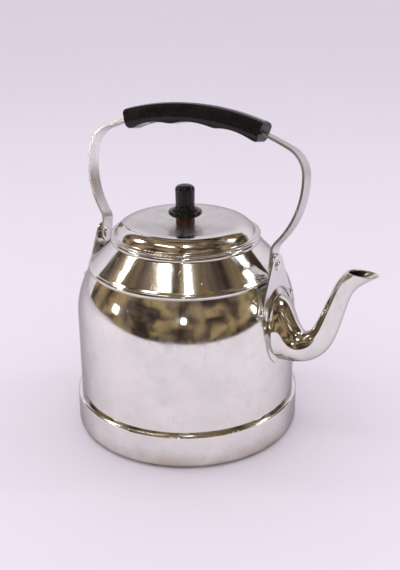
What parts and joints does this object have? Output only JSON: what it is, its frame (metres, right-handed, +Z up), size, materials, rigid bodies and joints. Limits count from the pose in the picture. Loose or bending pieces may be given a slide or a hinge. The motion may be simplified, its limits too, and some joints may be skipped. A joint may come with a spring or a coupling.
{
  "type": "stovetop kettle",
  "caption": "Round metal stovetop kettle with swan-neck spout, swinging bail handle with a black grip, and lift-off lid with a knob.",
  "frame": {"origin": "centre of the flat underside, on the body's axis", "axes": "+Z up along the body's axis, +X along the spout, handle pivots on a line parallel to X"},
  "size_m": [0.2938, 0.2076, 0.295],
  "materials": {
    "polished_aluminium": "polished",
    "base_aluminium": "polished, scuffed",
    "stamped_aluminium": "satin",
    "strap_aluminium": "polished",
    "rivet_aluminium": "satin",
    "washer_steel": "satin",
    "screw_steel": "satin",
    "insert_brass": "machined",
    "black_bakelite": "gloss",
    "brown_bakelite": "gloss"
  },
  "bodies": {
    "kettle": {"base_pan": "base_aluminium", "body_shell": "polished_aluminium", "body_neck": "polished_aluminium", "spout": "polished_aluminium", "spout_flange": "polished_aluminium", "front_ear": "stamped_aluminium", "rear_ear": "stamped_aluminium", "front_ear_rivets": "rivet_aluminium", "rear_ear_rivets": "rivet_aluminium", "front_pivot_pin": "rivet_aluminium", "rear_pivot_pin": "rivet_aluminium", "front_pivot_washer": "washer_steel", "rear_pivot_washer": "washer_steel"},
    "handle": {"handle_strap": "strap_aluminium", "grip_upper": "black_bakelite", "grip_lower": "black_bakelite", "grip_screws": "screw_steel", "grip_inserts": "insert_brass"},
    "lid": {"lid_shell": "polished_aluminium", "lid_skirt": "stamped_aluminium", "knob_collar": "brown_bakelite", "knob": "black_bakelite", "knob_insert": "insert_brass", "knob_washer": "washer_steel", "knob_screw": "screw_steel"}
  },
  "joints": [
    {"name": "handle_swing", "type": "hinge", "parent": "kettle", "child": "handle", "pos_m": [0, 0, 0.1683], "axis": [1, 0, 0], "range_deg": [-76, 99]},
    {"name": "lid_lift", "type": "slide", "parent": "kettle", "child": "lid", "axis": [0, 0, 1], "range_m": [0, 0.04]}
  ]
}
